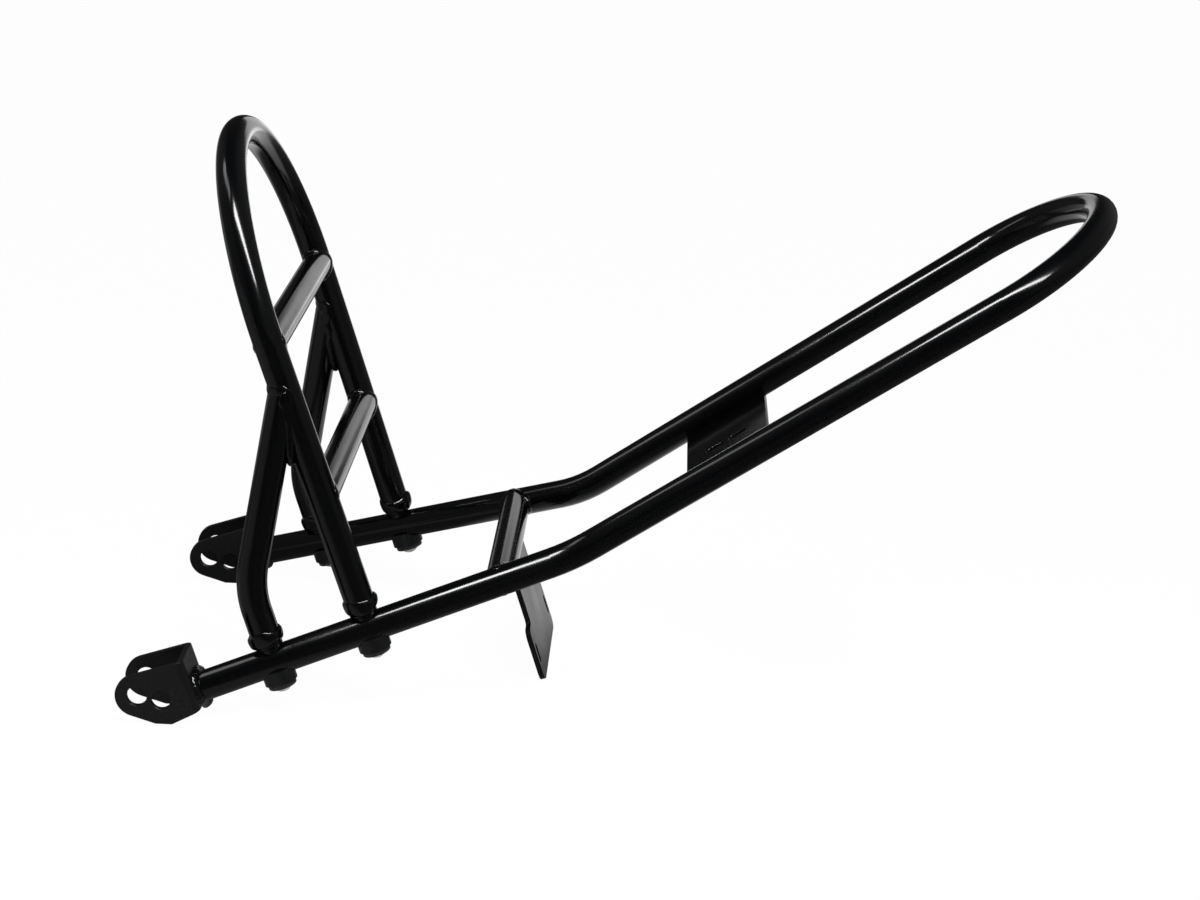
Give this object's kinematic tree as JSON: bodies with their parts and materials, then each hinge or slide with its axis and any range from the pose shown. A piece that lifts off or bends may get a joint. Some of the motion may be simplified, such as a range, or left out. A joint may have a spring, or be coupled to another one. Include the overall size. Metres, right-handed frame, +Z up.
{
  "type": "sissy bar with luggage rack",
  "caption": "Black tubular sissy bar loop on clevis brackets, with an upright bolted-on luggage rack hoop, a slotted mount tab and a slotted pad plate.",
  "frame": {"origin": "middle of the bounding box's bottom face, on the floor that the part rests on", "axes": "+Z up; +X along the part's length from the clevises to the loop's round end; the XZ plane is the part's middle plane, and right is -Y"},
  "size_m": [0.7114, 0.3426, 0.4112],
  "materials": {
    "black_tube": "gloss black powder coat",
    "black_plate": "semi-gloss black powder coat",
    "black_hardware": "satin black",
    "zinc_bolt": "bright zinc plate"
  },
  "bodies": {
    "root": {"sissy_bar_loop": "black_tube", "clevis_left": "black_plate", "clevis_right": "black_plate", "lower_crossbar": "black_tube", "mount_tab": "black_plate", "pad_plate": "black_plate", "rack_hoop": "black_tube", "rack_crossbar_lower": "black_tube", "rack_crossbar_upper": "black_tube", "strut_left": "black_tube", "strut_right": "black_tube", "rack_bung_left": "black_tube", "rack_bung_right": "black_tube", "strut_bung_left": "black_tube", "strut_bung_right": "black_tube", "rack_weld_left": "black_tube", "rack_weld_right": "black_tube", "strut_weld_left": "black_tube", "strut_weld_right": "black_tube", "rack_saddle_left": "black_hardware", "rack_saddle_right": "black_hardware", "strut_saddle_left": "black_hardware", "strut_saddle_right": "black_hardware", "rack_washer_left": "black_hardware", "rack_washer_right": "black_hardware", "strut_washer_left": "black_hardware", "strut_washer_right": "black_hardware", "rack_bolt_left": "zinc_bolt", "rack_bolt_right": "zinc_bolt", "strut_bolt_left": "zinc_bolt", "strut_bolt_right": "zinc_bolt"}
  },
  "joints": []
}
